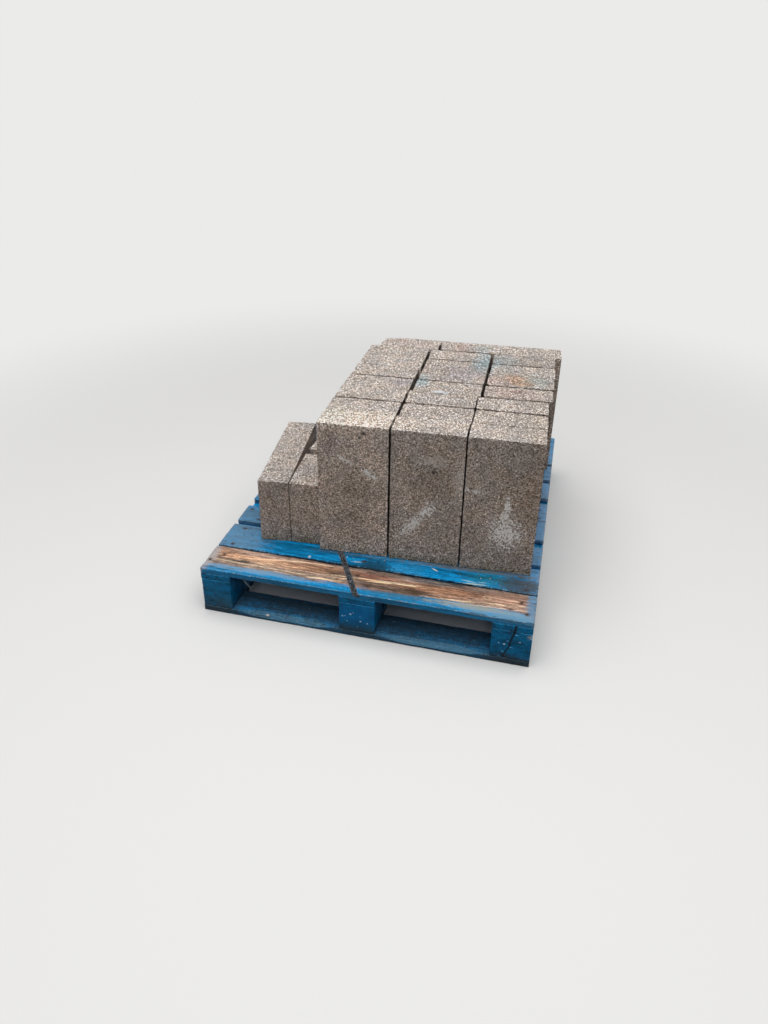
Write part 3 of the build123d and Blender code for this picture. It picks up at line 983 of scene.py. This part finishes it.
blockRelief = {
    "cell": 3.3,
    "rows near an arris": (0.0, 0.9, 2.1, 3.6),
    "Arris": 1.1 * mm,
    "Chipping": 7.5 * mm,
    "Pit Depth": 3.0 * mm,
    "Pit Spacing": 7.5 * mm,
    "Grain": 1.4 * mm,
}
front, back, left, right, top = (1, 0), (1, 1), (0, 0), (0, 1), (2, 1)
laidFaces = {
    "laid_block_outer": (front, back, left, right, top),
    "laid_half_block": (front, back, top),
    "laid_broken_block": (front, back, left, right, top),
}
fractures = {"laid_half_block": 7 * mm, "laid_broken_block": 10 * mm}
chips = {
    "block_row8_col1": [((215, 8, 440), 38), ((0, 98, 440), 44)],
    "block_row8_col2": [((0, 8, 440), 30)],
    "laid_half_block": [((99, 200, 215), 30)],
    "block_row2_col3": [((212, 96, 440), 16)],
    "block_row6_col1": [((0, 0, 440), 18)],
    "block_row3_col1": [((0, 50, 440), 16)],
}
# how far each joint behind a row is worn open, for its three blocks; below zero it is tight
jointWear = {
    "open": [(-0.7, -0.5, -0.4), (2.6, 3.2, 3.0), (-1, -0.8, 3.6), (1.2, 2.4, 4.2), (-1, -1, -1),
             (-1, 0.6, 1.8), (-0.7, 2.6, -1), (0, 0, 0)],
    "sideways": 0.55,
    "swell": 0.65,
    "crisp": 8.0,
    "rounded": 3.6,
    "rear gap": 2.1,
    "front gap": 0.8,
}
tones = {"block_row1_col1": 0.19, "block_row1_col2": 0.04, "block_row1_col3": -0.10,
         "block_row8_col1": 0.10, "block_row7_col3": -0.20, "block_row4_col3": -0.05,
         "block_row6_col2": -0.04, "laid_block_outer": -0.05, "laid_half_block": 0.05}


def samples(length, relief):
    edge = [row * mm for row in relief["rows near an arris"]]
    inner = length - 2 * edge[-1]
    count = max(1, round(inner / (relief["cell"] * mm)))
    middle = [edge[-1] + inner * step / count for step in range(count + 1)]
    return [*edge[:-1], *middle, *[length - row for row in reversed(edge[:-1])]]


def gridBox(name, low, size, fineFaces, relief):
    # a closed box with a fine grid on the faces that show, and one polygon on each of the others
    rows = [[start + place for place in samples(length, relief)] for start, length in zip(low, size)]
    last = [len(row) - 1 for row in rows]
    points, faces, known = [], [], {}

    def corner(axis, side, i, j):
        key = [0, 0, 0]
        key[axis], key[(axis + 1) % 3], key[(axis + 2) % 3] = last[axis] * side, i, j
        key = tuple(key)
        if key not in known:
            known[key] = len(points)
            points.append([rows[n][key[n]] for n in range(3)])
        return known[key]

    for axis in range(3):
        across, up = (axis + 1) % 3, (axis + 2) % 3
        wide, high = last[across], last[up]
        for side in (0, 1):
            if (axis, side) in fineFaces:
                found = [[corner(axis, side, i, j), corner(axis, side, i + 1, j),
                          corner(axis, side, i + 1, j + 1), corner(axis, side, i, j + 1)]
                         for i in range(wide) for j in range(high)]
            else:
                stepsBelow = range(wide) if (up, 0) in fineFaces else [0]
                stepsRight = range(high) if (across, 1) in fineFaces else [0]
                stepsAbove = range(wide, 0, -1) if (up, 1) in fineFaces else [wide]
                stepsLeft = range(high, 0, -1) if (across, 0) in fineFaces else [high]
                found = [[*[corner(axis, side, i, 0) for i in stepsBelow],
                          *[corner(axis, side, wide, j) for j in stepsRight],
                          *[corner(axis, side, i, high) for i in stepsAbove],
                          *[corner(axis, side, 0, j) for j in stepsLeft]]]
            faces += found if side else [face[::-1] for face in found]
    mesh = bpy.data.meshes.new(name)
    mesh.from_pydata(points, [], faces)
    return mesh


def rowAndColumn(node):
    _, row, column = node.split("_")
    return int(row.removeprefix("row")), int(column.removeprefix("col"))


def facesThatShow(node):
    if node in laidFaces:
        return laidFaces[node]
    row, column = rowAndColumn(node)
    shown = [top]
    if row == 1 or node == "block_row8_col3":
        shown.append(front)
    if row == 8 or node == "block_row7_col1":
        shown.append(back)
    if column == 1:
        shown.append(left)
    if column == 3:
        shown.append(right)
    return shown


def besideJoints(node):
    # how the block is worn and swollen at its joints: on the left and front, then the right and back
    if node in laidFaces:
        return [(Vector(), Vector())] * 2
    row, column = rowAndColumn(node)
    inFront = jointWear["open"][row - 2][column - 1] if row > 1 else 0.0
    behind = jointWear["open"][row - 1][column - 1]
    found = []
    for edge, state, neighbour in ((1, inFront, (8, 2)), (3, behind, (8, 1))):
        wear = Vector((jointWear["sideways"] if column != edge else 0.0,
                       state * jointWear["crisp" if state < 0 else "rounded"], 0))
        beside = jointWear["front gap"] if row == 1 and column != edge else 0.0
        swell = Vector((jointWear["rear gap"] if (row, column) == neighbour else beside,
                        max(0.0, -state) * jointWear["swell"], 0))
        found.append((wear * mm, swell * mm))
    return found


def dressBlocks():
    relief = blockRelief
    names = sorted(node for node in cadNodes if node.startswith(("block_", "laid_")))
    for number, node in enumerate(names):
        turn, place, size, slant = ownBox(node)
        (wearLow, swellLow), (wearHigh, swellHigh) = besideJoints(node)
        high = size + swellHigh
        piece = newObject(node + "_dressed",
                          gridBox(node, -swellLow, high + swellLow, facesThatShow(node), relief))
        draw = random.Random(number)
        values = {
            **relief, "Low": -swellLow, "High": high, "Seed": 1.0 + number, "Turn": turn, "Place": place,
            "Wear Low": wearLow, "Wear High": wearHigh,
            "Slant": slant if node == "laid_broken_block" else 0.0, "Fracture": fractures.get(node, 0.0),
            "Tone": tones.get(node, 0.0) + draw.uniform(-0.05, 0.05), "Material": concrete}
        for title, (chipPlace, chipSize) in zip(("Chip", "Second Chip"), chips.get(node, [])):
            values[title] = Vector(chipPlace) * mm
            values[title + " Size"] = chipSize * mm
        growFrom(piece, concreteTree, values)
        dress(piece, "block_concrete", node)


dressBlocks()
print("blocks ready")


# Nails

nailSizes = {"Radius": 3.9 * mm, "Height": 1.6 * mm, "Tilt": 0.10, "Seed": 4, "sunk": 1.0}
leadNails = [(458, -518), (429, -553), (475, -565), (-458, -516), (-489, -551), (-31, -512), (12, -556)]
secondNails = [(-452, -363), (-458, -455), (-30, -440), (20, -380), (420, -372), (465, -455)]


def nailPlaces():
    # two nails in each crossing of a deck board and a line, staggered, apart from those that show
    draw = random.Random(11)
    places = leadNails + secondNails
    for node in sorted(cadNodes):
        if not node.startswith(("deck_board_", "back_lead_board")) or node == "deck_board_2":
            continue
        low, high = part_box(node)
        for line in ("left", "middle", "right"):
            lineLow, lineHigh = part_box("stringer_board_" + line)
            for share in (0.3, 0.7):
                x = lineLow.x + (lineHigh.x - lineLow.x) * (share + draw.uniform(-0.1, 0.1))
                y = low.y + (high.y - low.y) * (1 - share + draw.uniform(-0.12, 0.12))
                places.append((x / mm, y / mm))
    return places


def makeNails():
    level = deckTop - nailSizes["sunk"] * mm - nailSizes["Height"] / 2
    points = [(x * mm, y * mm, level) for x, y in nailPlaces()]
    mesh = bpy.data.meshes.new("nail_points")
    mesh.from_pydata(points, [], [])
    spots = newObject("nail_points", mesh)
    heads = newObject("nail_heads", mesh.copy())
    growFrom(heads, nailTree, {**nailSizes, "Material": nailSteel})
    dress(heads, None)
    return spots


nailSpots = makeNails()


# Timber: the CAD shape cut into cells, then worn and given its grain

timberRelief = {
    "along": 11.0,
    "across": 3.6,
    "Arris": 1.2 * mm,
    "Wear": 4.0 * mm,
    "Relief": 0.9 * mm,
    "Check Depth": 3.0 * mm,
    "shrink": 0.05,
    "leadShrink": 0.085,
    "blockShrink": 0.45,
    "rubbing": 0.34,
    "upright": {"Arris": 0.5 * mm, "Wear": 1.2 * mm},
}
paintLeft = {"front_lead_board": 0.70, "deck_board_2": 0.70, "base_board_front": 0.72, "deck_board_3": 0.66,
             "spacer_front_left": 0.76, "spacer_front_middle": 0.76, "spacer_front_right": 0.76}
usualPaint = 0.66


def cutPlaces(low, high, step):
    count = max(1, round((high - low) / (step * mm)))
    return [low + (high - low) * share / count for share in range(1, count)]


def dicedCopy(node, steps):
    bm = bmesh.new()
    bm.from_mesh(cadNodes[node].data)
    bmesh.ops.remove_doubles(bm, verts=bm.verts, dist=0.01 * mm)
    bmesh.ops.dissolve_limit(bm, angle_limit=0.002, verts=bm.verts, edges=bm.edges)
    low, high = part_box(node)
    for axis, step in enumerate(steps):
        normal = Vector([float(axis == n) for n in range(3)])
        for place in cutPlaces(low[axis], high[axis], step):
            bmesh.ops.bisect_plane(bm, geom=bm.verts[:] + bm.edges[:] + bm.faces[:], dist=0.002 * mm,
                                   plane_co=normal * place, plane_no=normal)
    mesh = bpy.data.meshes.new(node)
    bm.to_mesh(mesh)
    bm.free()
    return mesh


def dressTimber():
    relief = timberRelief
    names = sorted(node for node in cadNodes if not node.startswith(("block_", "laid_", "loose_")))
    for number, node in enumerate(names):
        low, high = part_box(node)
        longest = max(range(3), key=lambda axis: (high - low)[axis] + (0.001 if axis == 0 else 0))
        grainAxis = 0 if node.startswith("spacer_") else longest
        steps = [relief["along"] if axis == grainAxis and "spacer" not in node else relief["across"]
                 for axis in range(3)]
        piece = newObject(node + "_dressed", dicedCopy(node, steps))
        isLead = node == "front_lead_board"
        shrink = relief["blockShrink" if "spacer" in node else "leadShrink" if isLead else "shrink"]
        run = [shrink if axis == grainAxis else 1.0 for axis in range(3)]
        bearer = node.startswith(("spacer", "stringer"))
        growFrom(piece, timberTree, {
            **relief, **(relief["upright"] if bearer else {}), "Low": low, "High": high,
            "Seed": 40.0 + number, "Stretch": run, "Nails": nailSpots,
            "Rubbing": relief["rubbing"] if bearer else 1.0,
            "Paint": paintLeft.get(node, usualPaint), "Material": leadTimber if isLead else paintedTimber})
        dress(piece, "worn_lead_timber" if isLead else "painted_timber", node)


dressTimber()
bpy.data.objects.remove(nailSpots)
print("timber ready")


# Loose strap

strapShape = {"rows": 70, "columns": 8, "thickness": 0.85, "underside": 0.3, "lift": 0.25, "bend": 3.0}


def makeStrap():
    shape = strapShape
    corners = [vertex.co.copy() for vertex in cadNodes["loose_strap"].data.vertices]
    low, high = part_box("loose_strap")
    onTop = [point for point in corners if point.z > high.z - 0.1 * mm]
    backEdge = [point for point in onTop if point.y > high.y - 0.1 * mm]
    frontEdge = [point for point in onTop if point.y < low.y + 0.1 * mm]
    footEdge = [point for point in corners if point.z < low.z + 0.1 * mm and point.y < low.y + 0.1 * mm]
    stations = [[pick(edge, key=lambda point: point.x) for edge in (backEdge, frontEdge, footEdge)]
                for pick in (min, max)]
    bend = shape["bend"] * mm
    points, grain = [], []
    rows, columns = shape["rows"], shape["columns"]
    flatLength = (stations[0][0] - stations[0][1]).length
    dropLength = (stations[0][1] - stations[0][2]).length
    whole = flatLength + dropLength

    def placeAt(side, distance):
        start, fold, foot = stations[side]
        if distance < flatLength - bend:
            return start.lerp(fold, distance / flatLength)
        if distance > flatLength + bend:
            return fold.lerp(foot, (distance - flatLength) / dropLength)
        share = (distance - flatLength + bend) / (2 * bend)
        first = start.lerp(fold, 1 - bend / flatLength)
        second = fold.lerp(foot, bend / dropLength)
        return first.lerp(fold, share).lerp(fold.lerp(second, share), share)

    for layer in (0, 1):
        for row in range(rows + 1):
            distance = whole * row / rows
            leftSide, rightSide = placeAt(0, distance), placeAt(1, distance)
            ahead, behind = placeAt(0, min(whole, distance + mm)), placeAt(0, max(0.0, distance - mm))
            out = (rightSide - leftSide).cross(ahead - behind).normalized()
            if out.z < -0.1 or out.y > 0.5:
                out = -out
            for column in range(columns + 1):
                share = column / columns
                rounded = 1 - 0.45 * abs(2 * share - 1) ** 6
                wave = math.sin(distance * 130 + share * 2.1) * math.sin(distance * 47)
                lift = shape["lift"] * mm * (0.5 + 0.5 * wave)
                depth = lift + layer * shape["thickness"] * mm * rounded
                depth += (1 - layer) * shape["underside"] * mm * (1 - rounded)
                points.append(leftSide.lerp(rightSide, share) - out * depth)
                grain.append((distance, share * strapLook["width"] * mm, 0.0))
    faces = []
    size = (rows + 1) * (columns + 1)

    def at(layer, row, column):
        return layer * size + row * (columns + 1) + column

    for row in range(rows):
        for column in range(columns):
            quad = [(row, column), (row + 1, column), (row + 1, column + 1), (row, column + 1)]
            faces.append([at(0, *corner) for corner in quad])
            faces.append([at(1, *corner) for corner in reversed(quad)])
    rim = [*[(row, 0) for row in range(rows)],
           *[(rows, column) for column in range(columns)],
           *[(row, columns) for row in range(rows, 0, -1)],
           *[(0, column) for column in range(columns, 0, -1)]]
    for first, second in zip(rim, [*rim[1:], rim[0]]):
        faces.append([at(0, *first), at(1, *first), at(1, *second), at(0, *second)])
    mesh = closedMesh("loose_strap", points, faces, strapPlastic)
    mesh.attributes.new("grain", "FLOAT_VECTOR", "POINT").data.foreach_set(
        "vector", [value for place in grain for value in place])
    dress(newObject("loose_strap_dressed", mesh), "strap_plastic", "loose_strap")


makeStrap()
print("strap ready")


# Small things that lie on the pallet

def frontLine(x, inFront):
    # a point on the deck, a distance in front of the stack's front face
    slope = math.tan(stackTurn)
    return stackCorner.y + (x * mm - stackCorner.x) * slope - inFront * mm


def makeGrit():
    strips = [(-170, 470, 0, 14), (-100, 40, 0, 34), (300, 480, 6, 44)]
    points, faces = [], []
    for start, end, near, far in strips:
        base = len(points)
        for x, inFront in ((start, near), (start, far), (end, far), (end, near)):
            points.append((x * mm, frontLine(x, inFront), deckTop - 0.4 * mm))
        faces.append([base, base + 1, base + 2, base + 3])
    mesh = bpy.data.meshes.new("foot_grit")
    mesh.from_pydata(points, [], faces)
    piece = newObject("foot_grit", mesh)
    growFrom(piece, gritTree, {"Density": 2400.0, "Largest": 3.6 * mm, "Seed": 6, "Tone": 0.3,
                               "Material": concrete})
    dress(piece, "block_concrete")


def makeSliver(name, start, end, width, thickness, material, slot=None, seed=1):
    # a split-off piece, thin at both ends
    draw = random.Random(seed)
    start, end = Vector(start) * mm, Vector(end) * mm
    run = (end - start).normalized()
    side = run.cross(Vector((0, 0, 1))).normalized()
    lift = side.cross(run)
    rows, ring = 9, 6
    points = []
    for row in range(rows + 1):
        share = row / rows
        swell = 0.15 + 0.85 * math.sin(math.pi * (0.08 + 0.84 * share)) ** 0.6
        centre = start.lerp(end, share)
        for corner in range(ring):
            angle = math.tau * corner / ring
            reach = 0.5 * swell * draw.uniform(0.8, 1.15)
            points.append(centre + side * (math.cos(angle) * width * mm * reach)
                          + lift * (math.sin(angle) * thickness * mm * reach))
    faces = [[row * ring + corner, row * ring + (corner + 1) % ring,
              (row + 1) * ring + (corner + 1) % ring, (row + 1) * ring + corner]
             for row in range(rows) for corner in range(ring)]
    faces += [list(range(ring))[::-1], list(range(rows * ring, (rows + 1) * ring))]
    dress(newObject(name, closedMesh(name, points, faces, material)), slot)


makeGrit()
makeSliver("wood_chip", (180, -421, 160.6), (199, -432, 160.6), 6, 1.6, whiteLump, seed=3)
makeSliver("hanging_splinter", (-368, -594, 140.5), (-337, -592, 103), 4, 2, greySplinter, seed=5)
makeSliver("base_pebble", (-297, -595, 17), (-286, -596, 17), 9, 7, whiteLump, seed=8)
print("small things ready")


# Floor, light and camera

studio = {
    "floor": (0.80, 0.795, 0.785),
    "bouncedFloor": 0.22,
    "sky": (0.83, 0.83, 0.825),
    "fill": 0.70,
    "horizonFill": 0.05,
    "fadeFrom": 1.1,
    "fadeTo": 3.2,
    "floorReach": 14.0,
    "lampSize": 5.0,
    "lampPlace": (0.2, -1.1, 4.2),
    "lampPower": 163.0,
}
photoCamera = {
    "place": (0.4682, -2.2695, 1.5099),
    "yaw": 14.03,
    "down": 28.30,
    "roll": 0.66,
    "lens": 26.42,
    "shift": (0.0062, -0.0438),
}


def seenDirectly():
    rays = addNode("ShaderNodeLightPath").outputs
    seen = larger(rays["Is Camera Ray"], rays["Is Glossy Ray"])
    return larger(seen, rays["Is Transmission Ray"])


def makeFloor():
    mesh = bpy.data.meshes.new("studio_floor")
    bm = bmesh.new()
    bmesh.ops.create_circle(bm, cap_ends=True, segments=96, radius=studio["floorReach"])
    bm.to_mesh(mesh)
    bm.free()
    material = bpy.data.materials.new("Studio floor")
    material.use_nodes = True
    openTree(material.node_tree).nodes.clear()
    seen = seenDirectly()
    low = studio["bouncedFloor"]
    colour = mixed(seen, (low, low, low), studio["floor"])
    matte = addNode("ShaderNodeBsdfDiffuse", {"Color": colour}).outputs[0]
    far = vectorCalc("LENGTH", objectPlace())
    fade = times(ramp(far, studio["fadeFrom"], studio["fadeTo"]), seen)
    glow = addNode("ShaderNodeEmission", {"Color": rgb(studio["sky"]), "Strength": 1.0}).outputs[0]
    both = addNode("ShaderNodeMixShader", {0: fade, 1: matte, 2: glow}).outputs[0]
    addNode("ShaderNodeOutputMaterial", {"Surface": both})
    mesh.materials.append(material)
    newObject("studio_floor", mesh)


def makeWorld():
    world = bpy.data.worlds.new("Studio")
    world.use_nodes = True
    background = openTree(world.node_tree).nodes["Background"].inputs
    plug(background["Color"], rgb(studio["sky"]))
    height = parts(addNode("ShaderNodeTexCoord").outputs["Generated"])[2]
    overhead = ramp(height, 0.05, 0.95, studio["fill"] * studio["horizonFill"], studio["fill"])
    plug(background["Strength"], ramp(seenDirectly(), 0.0, 1.0, overhead, 1.0))
    bpy.context.scene.world = world


def makeLamp():
    data = bpy.data.lights.new("overhead", "AREA")
    data.size = studio["lampSize"]
    data.energy = studio["lampPower"]
    lamp = bpy.data.objects.new("overhead", data)
    lamp.location = studio["lampPlace"]
    lamp.rotation_euler = (-Vector(studio["lampPlace"])).to_track_quat("-Z", "Y").to_euler()
    bpy.context.scene.collection.objects.link(lamp)


def makeCamera():
    data = bpy.data.cameras.new("photo_camera")
    data.lens = photoCamera["lens"]
    data.shift_x, data.shift_y = photoCamera["shift"]
    camera = bpy.data.objects.new("photo_camera", data)
    camera.matrix_world = (Matrix.Translation(photoCamera["place"])
                           @ Matrix.Rotation(math.radians(photoCamera["yaw"]), 4, "Z")
                           @ Matrix.Rotation(math.radians(90 - photoCamera["down"]), 4, "X")
                           @ Matrix.Rotation(math.radians(photoCamera["roll"]), 4, "Z"))
    bpy.context.scene.collection.objects.link(camera)
    bpy.context.scene.camera = camera


makeFloor()
makeWorld()
makeLamp()
makeCamera()
bpy.context.scene.view_settings.view_transform = "Standard"
print("studio ready")
